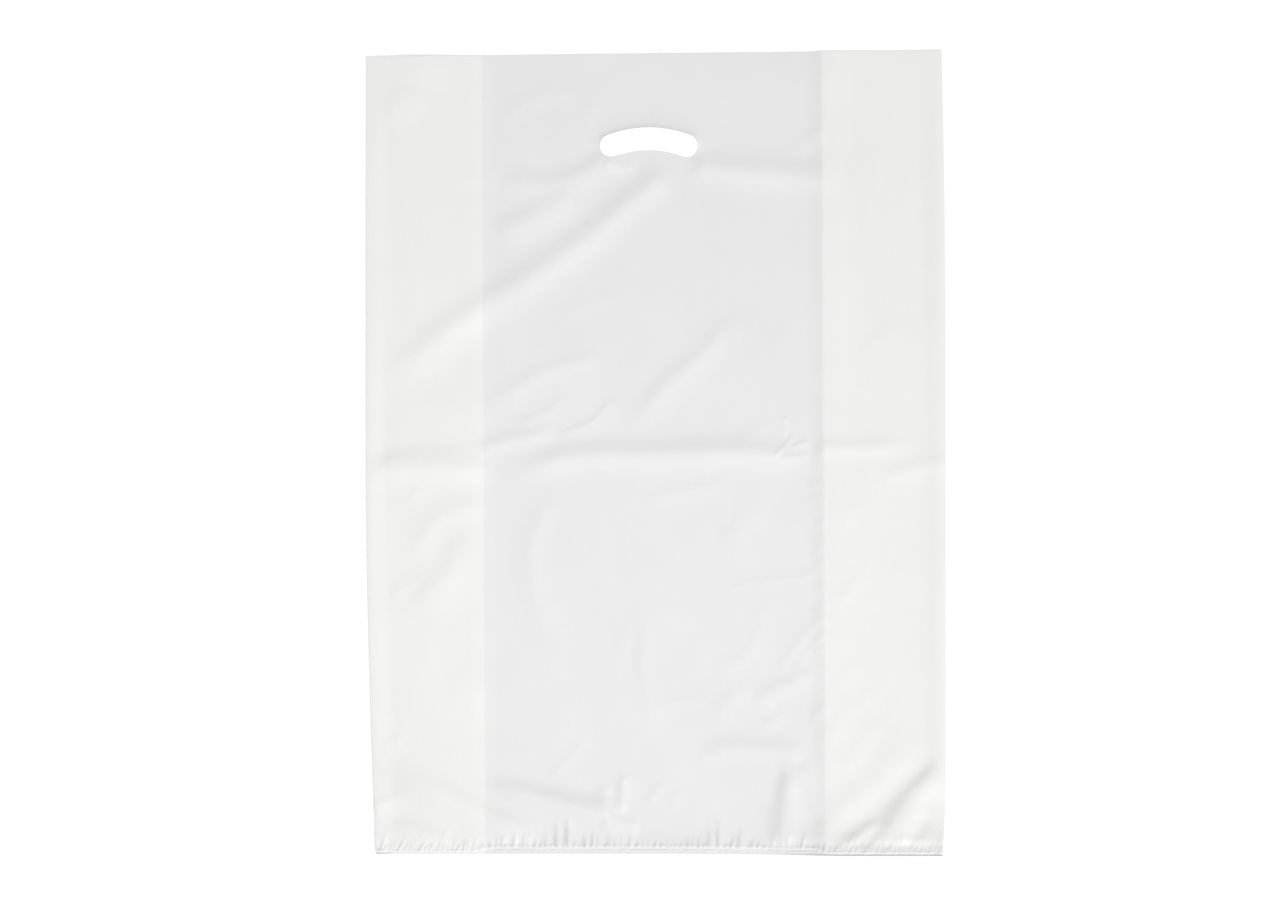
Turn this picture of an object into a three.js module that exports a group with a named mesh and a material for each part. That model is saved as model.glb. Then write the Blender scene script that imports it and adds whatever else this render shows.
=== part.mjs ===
// A white polythene carrier bag with a punched grip, lying flat on its back as it comes to rest.
// The bag is one piece of blown film: a tube with a gusset tucked into each side, cut open at the mouth,
// welded shut across the bottom and punched through both faces for the fingers. Handling has left folds in
// the front face, and the heat of the weld has shrunk the film above it into gathers.
// Millimetres. +X runs across the bag, +Y towards the mouth and +Z up from the floor.
// The origin is on the floor under the middle of the bag.

import * as THREE from "three";
import { mergeVertices } from "three/addons/utils/BufferGeometryUtils.js";

const { clamp, lerp, seededRandom } = THREE.MathUtils;

// Film tube, laid flat
const bagWidth = 430; // from edge fold to edge fold
const bagLength = 600; // from the skirt to the high corner of the mouth
const mouthSkew = 5; // the mouth is cut this much lower at its left corner
const gussetDepth = 88; // each side is tucked in this far
const filmGauge = 0.06; // one thickness of film
const filmGap = 0.2; // air between two films that lie on each other

// Bottom weld
const weldWidth = 1.5;
const skirtLength = 3; // loose film trimmed off below the weld

// Side edges, drawn in by the shrunken weld and by handling
const leftDraw = 7.4; // at the skirt
const leftDrawLength = 300; // up the side from the skirt
const rightDraw = 3; // at the skirt
const rightDrawLength = 60; // up the side from the skirt
const mouthDraw = 3; // at the right corner of the mouth
const mouthDrawLength = 240; // down the side from that corner

// Grip, a bowed slot with round ends
const gripSpan = 56; // between the centres of its ends
const gripHeight = 17; // width of the slot
const gripBow = 5.2; // rise of its middle above its ends
const gripDrop = 64; // from the mouth to the middle of the slot
const gripShift = -5; // off the bag's centre line

// Spring of the film at its four long folds
const edgeBeadRise = 0.7;
const edgeBeadInset = 4; // from the side edge to the top of its bead
const edgeBeadRun = 10; // from the top of the bead to the flat film inside it
const tuckBeadRise = 0.5; // over the inner fold of a gusset
const tuckBeadRun = 11;

// Mouth, a little open
const mouthGape = 0.9;
const gapeLength = 60;

// Gathers along the weld
const gatherPitch = 5;
const gatherRise = 1.2; // of the tallest gather
const gatherLeast = 0.4; // rise of the lowest gather
const gatherFoot = 4; // from the weld to the top of a gather
const gatherRun = 15; // from its top to where it dies out

// Facets
const rowStep = 15; // along the side edges and long folds
const foldStep = 12; // along the folds of the front face
const leastFoldSteps = 3; // along a short fold
const frontStep = 28; // over plain film of the front face
const backStep = 78; // over the back face
const leastStep = 4.5; // between corners on folds
const closestShare = 0.7; // corners set out in rows lie no closer than this share of their step
const gripSteps = 48; // round the grip

// Heights of the film layers above the floor, back face first
const lowerTuckBase = filmGauge + filmGap;
const lowerTuckTop = lowerTuckBase + filmGauge;
const upperTuckBase = lowerTuckTop + filmGap;
const upperTuckTop = upperTuckBase + filmGauge;
const frontBase = upperTuckTop + filmGap;
const stackTop = frontBase + filmGauge;
const twoFilmTop = 2 * filmGauge + filmGap;
const skirtTop = 4 * filmGauge;

// Levels along the bag, and the inner folds of the gussets across it
const skirtEdge = -bagLength / 2;
const weldBase = skirtEdge + skirtLength;
const weldTop = weldBase + weldWidth;
const mouthTop = bagLength / 2;
const tuckFold = bagWidth / 2 - gussetDepth;

// How much of a draw is left at a distance from the end that it starts from.
function drawLeft(distance, length) {
  return clamp(1 - distance / length, 0, 1) ** 2;
}

function leftEdge(y) {
  return leftDraw * drawLeft(y - skirtEdge, leftDrawLength) - bagWidth / 2;
}

function rightEdge(y) {
  const atSkirt = rightDraw * drawLeft(y - skirtEdge, rightDrawLength);
  const atMouth = mouthDraw * drawLeft(mouthTop - y, mouthDrawLength);
  return bagWidth / 2 - atSkirt - atMouth;
}

function fromEdge(x, y) {
  return Math.min(x - leftEdge(y), rightEdge(y) - x);
}

// Place across the bag: -1 at the left edge and 1 at the right edge.
function across(x, y) {
  return (2 * x - leftEdge(y) - rightEdge(y)) / (rightEdge(y) - leftEdge(y));
}

// The mouth is cut straight from one corner to the other, through all the films.
const leftCorner = new THREE.Vector2(leftEdge(mouthTop - mouthSkew), mouthTop - mouthSkew);
const rightCorner = new THREE.Vector2(rightEdge(mouthTop), mouthTop);

function mouthAt(x) {
  return lerp(leftCorner.y, rightCorner.y, (x - leftCorner.x) / (rightCorner.x - leftCorner.x));
}

// Grip: an arc of its middle line about a hub below it, widened to the slot
const gripMiddle = new THREE.Vector2(gripShift, mouthAt(gripShift) - gripDrop);
const gripRadius = (gripSpan ** 2 / 4 + gripBow ** 2) / (2 * gripBow);
const gripSweep = Math.asin(gripSpan / 2 / gripRadius);
const gripHub = new THREE.Vector2(gripMiddle.x, gripMiddle.y - gripRadius);

function gripEnd(angle) {
  return gripHub.clone().add(new THREE.Vector2(Math.cos(angle), Math.sin(angle)).multiplyScalar(gripRadius));
}

function gripOutline() {
  const right = Math.PI / 2 - gripSweep;
  const left = Math.PI / 2 + gripSweep;
  const rightEnd = gripEnd(right);
  const leftEnd = gripEnd(left);
  const path = new THREE.Path();
  path.absarc(gripHub.x, gripHub.y, gripRadius + gripHeight / 2, left, right, true);
  path.absarc(rightEnd.x, rightEnd.y, gripHeight / 2, right, right - Math.PI, true);
  path.absarc(gripHub.x, gripHub.y, gripRadius - gripHeight / 2, right, left, false);
  path.absarc(leftEnd.x, leftEnd.y, gripHeight / 2, left + Math.PI, left, true);
  return path.getSpacedPoints(gripSteps).slice(0, gripSteps);
}

// Distance of a point from the rim of the grip, negative inside the slot.
function gripClearance(point) {
  const arm = point.clone().sub(gripHub);
  const swing = Math.abs(arm.angle() - Math.PI / 2);
  const ends = [gripEnd(Math.PI / 2 - gripSweep), gripEnd(Math.PI / 2 + gripSweep)];
  const fromEnds = Math.min(...ends.map((end) => end.distanceTo(point)));
  const fromMiddle = swing < gripSweep ? Math.abs(arm.length() - gripRadius) : fromEnds;
  return fromMiddle - gripHeight / 2;
}

// Folds of the front face. Each has a crest through a few points measured from what it springs from,
// a rise at the middle of the crest, and a spread to either side of it.
const bagMiddle = new THREE.Vector2(0, 0);
const weldMiddle = new THREE.Vector2(0, weldTop);
const leftFoot = new THREE.Vector2(-bagWidth / 2, weldTop);
const rightFoot = new THREE.Vector2(bagWidth / 2, weldTop);

function fold(from, crest, rise, spread) {
  const line = new THREE.SplineCurve(crest.map(([x, y]) => new THREE.Vector2(x, y).add(from)));
  const steps = Math.max(leastFoldSteps, Math.round(line.getLength() / foldStep));
  return { stations: line.getSpacedPoints(steps), rise, spread };
}

const folds = [
  // Pulled out of the grip by the load that the bag has carried
  fold(gripMiddle, [[15, -22], [-21, -51], [-73, -91], [-129, -127], [-199, -185]], 1.6, 16),
  fold(gripMiddle, [[-34, -14], [-64, -30], [-97, -30], [-111, -27]], 1.0, 12),
  fold(gripMiddle, [[-52, -40], [-84, -56], [-116, -71]], 1.0, 13),
  fold(gripMiddle, [[29, -18], [68, -23], [145, -31]], 1.5, 15),
  fold(gripMiddle, [[109, -12], [118, 0], [132, 7]], 0.5, 8),
  // Where the bag was folded in half
  fold(bagMiddle, [[-214, -12], [-165, -10], [-114, -12]], 1.3, 13),
  fold(bagMiddle, [[-138, 1], [-99, 12], [-74, 17]], 0.7, 8),
  fold(bagMiddle, [[-124, -20], [-64, -3], [-12, -1], [60, 1], [118, 0]], 1.4, 13),
  fold(bagMiddle, [[116, 3], [145, 4], [192, 7]], 0.7, 8),
  fold(bagMiddle, [[158, -17], [186, -13], [214, -7]], 0.7, 9),
  fold(bagMiddle, [[60, 6], [76, 17], [92, 28]], 0.4, 7),
  fold(bagMiddle, [[87, -3], [94, 4], [104, 14]], 0.5, 5),
  // Slack film above that
  fold(bagMiddle, [[-21, 14], [12, 55], [39, 79], [70, 107]], 0.9, 12),
  fold(bagMiddle, [[-118, 38], [-78, 62], [-30, 74]], 0.6, 9),
  fold(bagMiddle, [[-77, 11], [-48, 23], [-30, 43]], 0.5, 7),
  fold(bagMiddle, [[142, 64], [168, 87], [185, 97]], 0.4, 8),
  // Slack film below it
  fold(bagMiddle, [[-182, -82], [-162, -49], [-122, -37]], 0.5, 11),
  fold(bagMiddle, [[-180, -117], [-154, -89], [-138, -57]], 0.8, 14),
  fold(bagMiddle, [[-66, -23], [-90, -61], [-92, -93], [-65, -148]], 0.7, 10),
  fold(bagMiddle, [[-10, -106], [-10, -161], [-3, -212]], 0.6, 8),
  fold(bagMiddle, [[-12, -39], [34, -26], [55, -20]], 0.4, 7),
  fold(bagMiddle, [[47, -71], [62, -54], [78, -38]], 0.5, 9),
  fold(bagMiddle, [[132, -114], [145, -100], [156, -87]], 0.5, 8),
  // Crumpled beside the right gusset
  fold(weldMiddle, [[36, 130], [67, 143], [82, 189]], 0.5, 7),
  fold(weldMiddle, [[88, 130], [112, 161], [124, 177]], 0.6, 6),
  fold(weldMiddle, [[98, 128], [126, 164]], 0.5, 5),
  fold(weldMiddle, [[74, 102], [92, 121], [112, 140]], 1.0, 9),
  fold(weldMiddle, [[43, 95], [55, 110], [70, 124]], 0.8, 9),
  fold(weldMiddle, [[79, 88], [96, 101]], 0.6, 6),
  fold(weldMiddle, [[-7, 109], [18, 110], [41, 112]], 0.4, 7),
  // Spread up from the gathers of the weld
  fold(weldMiddle, [[22, 67], [67, 75], [112, 69]], 1.3, 10),
  fold(weldMiddle, [[101, 73], [97, 28], [93, 1]], 2.2, 13),
  fold(weldMiddle, [[108, 67], [114, 45], [120, 23]], 0.9, 8),
  fold(weldMiddle, [[-134, 52], [-86, 38], [-38, 27], [-12, 13]], 2.0, 12),
  fold(weldMiddle, [[-24, 59], [-27, 27]], 1.0, 6),
  fold(weldMiddle, [[-39, 50], [-40, 23]], 0.8, 6),
  fold(weldMiddle, [[5, 52], [-6, 33]], 0.7, 6),
  fold(weldMiddle, [[-64, 21], [-65, 1]], 1.0, 5),
  fold(weldMiddle, [[-73, 17], [-74, 1]], 1.0, 5),
  fold(weldMiddle, [[47, 19], [49, 1]], 1.2, 8),
  // Across the bottom corners
  fold(rightFoot, [[-5, 79], [-63, 39], [-105, 2]], 1.7, 16),
  fold(rightFoot, [[-3, 62], [-26, 33], [-51, 2]], 2.8, 14),
  fold(rightFoot, [[-45, 25], [-66, 10], [-78, 1]], 1.5, 8),
  fold(leftFoot, [[10, 32], [25, 39], [41, 41]], 1.0, 9),
  fold(leftFoot, [[14, 22], [31, 16], [59, 7]], 0.9, 9),
  fold(leftFoot, [[29, 55], [78, 29], [99, 13]], 1.8, 14),
];

// Height that a fold adds at a point: highest along the crest, and none at its ends or past its spread.
function foldHeight({ stations, rise, spread }, point) {
  let nearest = Infinity;
  let along = 0;
  stations.slice(1).forEach((end, i) => {
    const start = stations[i];
    const run = end.clone().sub(start);
    const share = clamp(point.clone().sub(start).dot(run) / run.lengthSq(), 0, 1);
    const distance = start.clone().addScaledVector(run, share).distanceTo(point);
    if (distance < nearest) {
      nearest = distance;
      along = (i + share) / (stations.length - 1);
    }
  });
  return rise * Math.sin(Math.PI * along) * Math.max(0, 1 - nearest / spread);
}

// A ridge with straight flanks: 1 at its top, 0 at its two feet.
function ridge(at, top, before, after) {
  return Math.max(0, at < top ? 1 - (top - at) / before : 1 - (at - top) / after);
}

function gatherHeight(x, fromWeld) {
  const turn = (x + bagWidth / 2) / gatherPitch;
  const rise = lerp(gatherLeast, gatherRise, seededRandom(Math.floor(turn) + 1));
  return rise * ridge(turn % 1, 0.5, 0.5, 0.5) * ridge(fromWeld, gatherFoot, gatherFoot, gatherRun);
}

// Height of the front film's outer skin above the floor. It lies on four films beside the edges and on two in
// the middle, and settles on to the stack of films at the weld.
function frontHeight(x, y) {
  const inset = fromEdge(x, y);
  const fromWeld = y - weldTop;
  const fromMouth = mouthAt(x) - y;
  const pastTuck = clamp((tuckFold - Math.abs(x)) / tuckBeadRun, 0, 1);
  const edgeBead = edgeBeadRise * ridge(inset, edgeBeadInset, edgeBeadInset, edgeBeadRun);
  const tuckBead = tuckBeadRise * ridge(Math.abs(x), tuckFold, tuckBeadRun, tuckBeadRun);
  const gape = mouthGape * (1 - across(x, y) ** 2) * Math.max(0, 1 - fromMouth / gapeLength);
  const point = new THREE.Vector2(x, y);
  const folded = folds.reduce((sum, each) => sum + foldHeight(each, point), 0);
  const lying = lerp(stackTop, twoFilmTop, pastTuck) + edgeBead + tuckBead + gape;
  const settled = clamp(fromWeld / gatherFoot, 0, 1);
  const clear = clamp(inset / edgeBeadInset, 0, 1);
  return lerp(stackTop, lying + folded * clear, settled) + gatherHeight(x, fromWeld) * clear;
}

// Lines round the edge of a face, shared by the front, the back and what joins them
function line(steps, place) {
  return Array.from({ length: steps + 1 }, (_, i) => place(i / steps));
}

function lineAcross(y) {
  return line(Math.round(bagWidth / gatherPitch), (share) => {
    return new THREE.Vector2(lerp(leftEdge(y), rightEdge(y), share), y);
  });
}

const weldLine = lineAcross(weldTop);
const mouthLine = line(Math.round(bagWidth / rowStep), (share) => {
  return leftCorner.clone().lerp(rightCorner, share);
});

// Line up the bag from the weld to the mouth, at a place across it that may change with y.
function lineUp(place, top) {
  return line(Math.round(bagLength / rowStep), (share) => {
    const y = lerp(weldTop, top, share);
    return new THREE.Vector2(place(y), y);
  });
}

const leftLine = lineUp(leftEdge, leftCorner.y);
const rightLine = lineUp(rightEdge, rightCorner.y);
const gripLine = gripOutline();

function faceCorners() {
  const round = [weldLine, rightLine, mouthLine.toReversed(), leftLine.toReversed()];
  return [...round.flatMap((edge) => edge.slice(1)), ...gripLine];
}

// Adds a corner to a face where it is clear of the edges, the grip and the corners already there.
function addCorner(corners, x, y, spacing) {
  const corner = new THREE.Vector2(x, y);
  const room = Math.min(fromEdge(x, y), y - weldTop, mouthAt(x) - y, gripClearance(corner));
  if (room >= spacing / 2 && corners.every((other) => other.distanceTo(corner) >= spacing)) {
    corners.push(corner);
  }
}

// Staggered rows of corners over film that is still bare.
function addPlainCorners(corners, step) {
  for (let row = 1; row * step < bagLength; row++) {
    for (let column = 0; column * step < bagWidth; column++) {
      const x = (column + (row % 2) / 2) * step - bagWidth / 2;
      addCorner(corners, x, skirtEdge + row * step, step * closestShare);
    }
  }
}

// A corner on the crest of each gather and in each valley, and one where each valley runs out.
function addGatherCorners(corners) {
  const gathers = Math.round(bagWidth / gatherPitch);
  const crestStep = gatherPitch / 2;
  for (let half = 1; half < 2 * gathers; half++) {
    addCorner(corners, half * crestStep - bagWidth / 2, weldTop + gatherFoot, crestStep * closestShare);
  }
  for (let each = 1; each < gathers; each++) {
    const x = each * gatherPitch - bagWidth / 2;
    addCorner(corners, x, weldTop + gatherFoot + gatherRun, gatherPitch * closestShare);
  }
}

// Rows of corners along the beads of the side edges and of the gussets' inner folds.
function addBeadCorners(corners) {
  for (const inset of [edgeBeadInset, edgeBeadInset + edgeBeadRun]) {
    const spacing = Math.min(leastStep, inset);
    leftLine.forEach(({ x, y }) => addCorner(corners, x + inset, y, spacing));
    rightLine.forEach(({ x, y }) => addCorner(corners, x - inset, y, spacing));
  }
  for (const x of [tuckFold, tuckFold - tuckBeadRun, tuckFold + tuckBeadRun]) {
    leftLine.forEach(({ y }) => addCorner(corners, -x, y, leastStep));
    rightLine.forEach(({ y }) => addCorner(corners, x, y, leastStep));
  }
}

// Corners along the crest of a fold and along its two feet.
function addFoldCorners(corners, { stations, spread }) {
  stations.forEach((station) => addCorner(corners, station.x, station.y, leastStep));
  stations.slice(1).forEach((end, i) => {
    const middle = end.clone().add(stations[i]).divideScalar(2);
    const out = end.clone().sub(stations[i]).normalize().multiplyScalar(spread);
    addCorner(corners, middle.x - out.y, middle.y + out.x, leastStep);
    addCorner(corners, middle.x + out.y, middle.y - out.x, leastStep);
  });
}

function frontCorners() {
  const corners = faceCorners();
  addGatherCorners(corners);
  addBeadCorners(corners);
  folds.forEach((each) => addFoldCorners(corners, each));
  addPlainCorners(corners, frontStep);
  return corners;
}

function backCorners() {
  const corners = faceCorners();
  addPlainCorners(corners, backStep);
  return corners;
}

// Joins corners into triangles that turn anticlockwise, so that no triangle's circle holds another corner.
// It starts from one triangle round them all, whose own corners are left out at the end.
function triangulate(corners) {
  const roundAll = 30; // reach of the first triangle, in lengths and widths of the bag
  const onCircle = 1e-9; // corners this near a circle count as outside it
  const far = roundAll * (bagWidth + bagLength);
  const points = [...corners];
  points.push(new THREE.Vector2(-far, -far), new THREE.Vector2(far, -far), new THREE.Vector2(0, far));
  const first = corners.length;

  function circled(a, b, c) {
    const ab = points[b].clone().sub(points[a]);
    const ac = points[c].clone().sub(points[a]);
    const twice = 2 * ab.cross(ac);
    const x = (ac.y * ab.lengthSq() - ab.y * ac.lengthSq()) / twice;
    const y = (ab.x * ac.lengthSq() - ac.x * ab.lengthSq()) / twice;
    const centre = new THREE.Vector2(x, y);
    const reach = centre.lengthSq() * (1 - onCircle);
    return { ends: [a, b, c], centre: centre.add(points[a]), reach };
  }

  let triangles = [circled(first, first + 1, first + 2)];
  corners.forEach((corner, i) => {
    const rim = new Map();
    const kept = [];
    for (const triangle of triangles) {
      if (triangle.centre.distanceToSquared(corner) >= triangle.reach) {
        kept.push(triangle);
        continue;
      }
      const [a, b, c] = triangle.ends;
      for (const [from, to] of [[a, b], [b, c], [c, a]]) {
        if (!rim.delete(`${to} ${from}`)) {
          rim.set(`${from} ${to}`, [from, to]);
        }
      }
    }
    rim.forEach(([from, to]) => kept.push(circled(from, to, i)));
    triangles = kept;
  });
  return triangles.map(({ ends }) => ends).filter((ends) => ends.every((end) => end < first));
}

// Skin of the bag, as triangles that face out of the film
const facets = [];

// Fills the band between two lines. Walking along them, with one on either hand, the band faces up.
function stitch(leftHand, rightHand) {
  const shares = [leftHand, rightHand].map((points) => {
    const sums = [0];
    points.slice(1).forEach((point, i) => sums.push(sums[i] + point.distanceTo(points[i])));
    return sums.map((sum) => sum / sums.at(-1));
  });
  let i = 0;
  let j = 0;
  while (i < leftHand.length - 1 || j < rightHand.length - 1) {
    const leftNext = shares[0][i + 1] ?? Infinity;
    const rightNext = shares[1][j + 1] ?? Infinity;
    if (leftNext < rightNext) {
      facets.push(leftHand[i], rightHand[j], leftHand[i + 1]);
      i += 1;
    } else {
      facets.push(leftHand[i], rightHand[j], rightHand[j + 1]);
      j += 1;
    }
  }
}

// Fills the bands between lines that follow each other to the right.
function stitchRow(lines) {
  lines.slice(1).forEach((each, i) => stitch(lines[i], each));
}

// The four skins of the two faces, each over a point of the flat bag
function skin(height, depth) {
  return ({ x, y }) => new THREE.Vector3(x - depth * across(x, y), y, height(x, y));
}

const frontOut = skin(frontHeight, 0);
const frontIn = skin((x, y) => frontHeight(x, y) - filmGauge, filmGauge);
const backOut = skin(() => 0, 0);
const backIn = skin(() => filmGauge, filmGauge);

function addFace(corners, upSkin, downSkin) {
  const upCorners = corners.map(upSkin);
  const downCorners = corners.map(downSkin);
  for (const [a, b, c] of triangulate(corners)) {
    const middle = corners[a].clone().add(corners[b]).add(corners[c]).divideScalar(3);
    if (gripClearance(middle) > 0) {
      facets.push(upCorners[a], upCorners[b], upCorners[c]);
      facets.push(downCorners[c], downCorners[b], downCorners[a]);
    }
  }
  const rim = [...gripLine, gripLine[0]];
  stitch(rim.map(upSkin), rim.map(downSkin));
}

// Lines of one side's film, from the front's edge round the gusset to the back's edge, outside and inside
function tuckLines(side, edge) {
  const inner = lineUp(() => side * tuckFold, mouthAt(side * tuckFold));
  const leaf = (from, inset, z) => from.map(({ x, y }) => new THREE.Vector3(x - side * inset, y, z));
  const outside = {
    front: edge.map(frontOut),
    upperEdge: leaf(edge, 0, upperTuckBase),
    upperFold: leaf(inner, 0, upperTuckBase),
    lowerFold: leaf(inner, 0, lowerTuckTop),
    lowerEdge: leaf(edge, 0, lowerTuckTop),
    back: edge.map(backOut),
  };
  const inside = {
    front: edge.map(frontIn),
    upperEdge: leaf(edge, filmGauge, upperTuckTop),
    upperFold: leaf(inner, filmGauge, upperTuckTop),
    lowerFold: leaf(inner, filmGauge, lowerTuckBase),
    lowerEdge: leaf(edge, filmGauge, lowerTuckBase),
    back: edge.map(backIn),
  };
  return { outside, inside };
}

const leftTuck = tuckLines(-1, leftLine);
const rightTuck = tuckLines(1, rightLine);

function addGussets() {
  stitchRow(Object.values(rightTuck.outside));
  stitchRow(Object.values(rightTuck.inside).toReversed());
  stitchRow(Object.values(leftTuck.outside).toReversed());
  stitchRow(Object.values(leftTuck.inside));
}

// The cut edge of the film, once round the mouth.
function addMouthRim() {
  const leaves = (tuck) => Object.values(tuck).slice(1, -1).map((run) => run.at(-1));
  const round = (front, back, right, left) => [
    ...mouthLine.map(front),
    ...leaves(right),
    ...mouthLine.toReversed().map(back),
    ...leaves(left).toReversed(),
    front(mouthLine[0]),
  ];
  stitch(
    round(frontIn, backIn, rightTuck.inside, leftTuck.inside),
    round(frontOut, backOut, rightTuck.outside, leftTuck.outside),
  );
}

// The weld closes the inside of the bag and the pockets of its gussets, and the skirt hangs below it.
function addWeld() {
  const inside = (name) => [leftTuck.inside[name][0], rightTuck.inside[name][0]];
  const [leftUpperEdge, rightUpperEdge] = inside("upperEdge");
  const [leftUpperFold, rightUpperFold] = inside("upperFold");
  const [leftLowerFold, rightLowerFold] = inside("lowerFold");
  const [leftLowerEdge, rightLowerEdge] = inside("lowerEdge");
  const underFront = [leftUpperEdge, leftUpperFold, rightUpperFold, rightUpperEdge];
  const overBack = [leftLowerEdge, leftLowerFold, rightLowerFold, rightLowerEdge];
  stitch(underFront, weldLine.map(frontIn));
  stitch([leftLowerFold, rightLowerFold], [leftUpperFold, rightUpperFold]);
  stitch(weldLine.map(backIn), overBack);

  const pocket = ({ outside }, from, to) => [outside[from][0], outside[to][0]];
  stitch(pocket(rightTuck, "lowerFold", "lowerEdge"), pocket(rightTuck, "upperFold", "upperEdge"));
  stitch(pocket(leftTuck, "lowerEdge", "lowerFold"), pocket(leftTuck, "upperEdge", "upperFold"));

  const lip = (y, z) => lineAcross(y).map(({ x }) => new THREE.Vector3(x, y, z));
  const weldStep = lip(weldBase, skirtTop);
  const lines = [
    weldLine.map(frontOut),
    lip(weldBase, stackTop),
    weldStep,
    lip(skirtEdge, skirtTop),
    lip(skirtEdge, 0),
    weldLine.map(backOut),
  ];
  stitchRow(lines);

  // The corner between the weld and the skirt sees the whole end of the weld.
  const step = lines.indexOf(weldStep);
  const end = (at, { outside }) => [
    ...lines.map((each) => each.at(at)),
    outside.lowerEdge[0],
    outside.upperEdge[0],
  ];
  const rightEnd = end(-1, rightTuck);
  const leftEnd = end(0, leftTuck);
  for (let k = 1; k < rightEnd.length - 1; k++) {
    const here = (step + k) % rightEnd.length;
    const next = (step + k + 1) % rightEnd.length;
    facets.push(rightEnd[step], rightEnd[here], rightEnd[next]);
    facets.push(leftEnd[step], leftEnd[next], leftEnd[here]);
  }
}

addFace(frontCorners(), frontOut, frontIn);
addFace(backCorners(), backIn, backOut);
addGussets();
addMouthRim();
addWeld();

const geometry = mergeVertices(new THREE.BufferGeometry().setFromPoints(facets));
geometry.computeVertexNormals();

const whiteFilm = new THREE.MeshStandardMaterial({ color: 0xf0efef, roughness: 0.5, metalness: 0 });
const carrierBag = new THREE.Mesh(geometry, whiteFilm);
carrierBag.name = "carrier_bag";

const bag = new THREE.Group();
bag.add(carrierBag);

export default bag;
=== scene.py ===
# %% [markdown]
# A carrier bag of white film, lying flat
#
# The real bag is one length of thin white film. A blown tube of it is tucked in along both sides, cut
# off, welded shut across the bottom and punched with a grip near the mouth. Its front face is full of
# soft folds, as on a bag that was folded for packing, carried and opened out again. This lesson starts
# from the film laid out flat: it is cut finer where it will bend, punched, folded into a tucked tube,
# given the heights of its folds, closed, and finished with a film material.

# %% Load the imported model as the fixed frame
import math

import bmesh
import bpy
import numpy as np
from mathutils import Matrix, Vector, noise


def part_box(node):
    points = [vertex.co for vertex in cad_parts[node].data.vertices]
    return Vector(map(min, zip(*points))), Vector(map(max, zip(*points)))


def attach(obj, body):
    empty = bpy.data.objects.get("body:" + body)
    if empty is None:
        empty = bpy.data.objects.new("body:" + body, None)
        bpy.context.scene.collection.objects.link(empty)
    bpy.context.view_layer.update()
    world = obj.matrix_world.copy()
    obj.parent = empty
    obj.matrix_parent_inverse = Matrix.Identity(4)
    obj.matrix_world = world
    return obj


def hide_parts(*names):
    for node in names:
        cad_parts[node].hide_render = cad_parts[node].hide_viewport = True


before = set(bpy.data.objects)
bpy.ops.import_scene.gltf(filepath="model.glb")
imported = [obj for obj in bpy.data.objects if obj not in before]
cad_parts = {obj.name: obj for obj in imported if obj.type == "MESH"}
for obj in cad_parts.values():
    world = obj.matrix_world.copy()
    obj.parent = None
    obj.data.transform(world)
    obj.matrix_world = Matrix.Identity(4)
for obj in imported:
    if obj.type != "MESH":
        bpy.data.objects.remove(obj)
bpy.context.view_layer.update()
MM = 0.001
NODE = "carrier_bag"
node_low, node_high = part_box(NODE)
BAG_WIDTH = (node_high.x - node_low.x) / MM
BAG_LENGTH = (node_high.y - node_low.y) / MM
print(f"the bag measures {BAG_WIDTH:.1f} by {BAG_LENGTH:.1f} mm")

# %% [markdown]
# The camera
#
# The photograph looks straight down on the bag, with the mouth at the top of the picture. With a long
# lens the camera stands so far away that raised folds don't lean outwards. The bag's edges in the picture
# give the scale, and the scale gives the height of the camera.

# %% Camera straight above the bag
PICTURE_WIDTH = 1273
PICTURE_HEIGHT = 900
BAG_LEFT_PIXEL = 366.2
BAG_RIGHT_PIXEL = 945.9
BAG_TOP_PIXEL = 50.1
BAG_BOTTOM_PIXEL = 856.1
LENS = 85
SENSOR = 36

width_scale = BAG_WIDTH / (BAG_RIGHT_PIXEL - BAG_LEFT_PIXEL)
length_scale = BAG_LENGTH / (BAG_BOTTOM_PIXEL - BAG_TOP_PIXEL)
pixel_size = (width_scale + length_scale) / 2 * MM
aim_x = (PICTURE_WIDTH - BAG_LEFT_PIXEL - BAG_RIGHT_PIXEL) / 2 * pixel_size
aim_y = (BAG_TOP_PIXEL + BAG_BOTTOM_PIXEL - PICTURE_HEIGHT) / 2 * pixel_size
camera_height = PICTURE_WIDTH * pixel_size * LENS / SENSOR

bpy.ops.object.select_all(action="DESELECT")
bpy.ops.object.camera_add(location=(aim_x, aim_y, camera_height), rotation=(0, 0, 0))
camera = bpy.context.active_object
camera.name = "overhead_camera"
camera.data.lens = LENS
camera.data.sensor_width = SENSOR
bpy.context.scene.camera = camera
bpy.context.scene.view_settings.view_transform = "Standard"
print(f"a pixel is {pixel_size / MM:.3f} mm, and the camera stands {camera_height:.2f} m up")

# %% [markdown]
# The light
#
# Nearly every fold in the picture is darker towards the upper left and brighter towards the lower right.
# So the main light is taken to come from the lower right, low enough to draw the folds and wide enough to
# keep them soft. A sun lamp with a wide angle lights the whole floor evenly. A lamp hung over the lower
# half makes the mouth a little darker than the rest, as it is in the picture. A plain white world fills
# what is left. Light Path shows it to the camera as pure white, however little light it gives.

# %% Key light and lamp
KEY_TURN = math.radians(-45)
KEY_HEIGHT = math.radians(50)
KEY_SHARE = 0.43
KEY_SPREAD = math.radians(24)
LAMP_PLACE = Vector((0, -0.22, 1.1))
LAMP_SIZE = 0.5
LAMP_SHARE = 0.159

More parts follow.
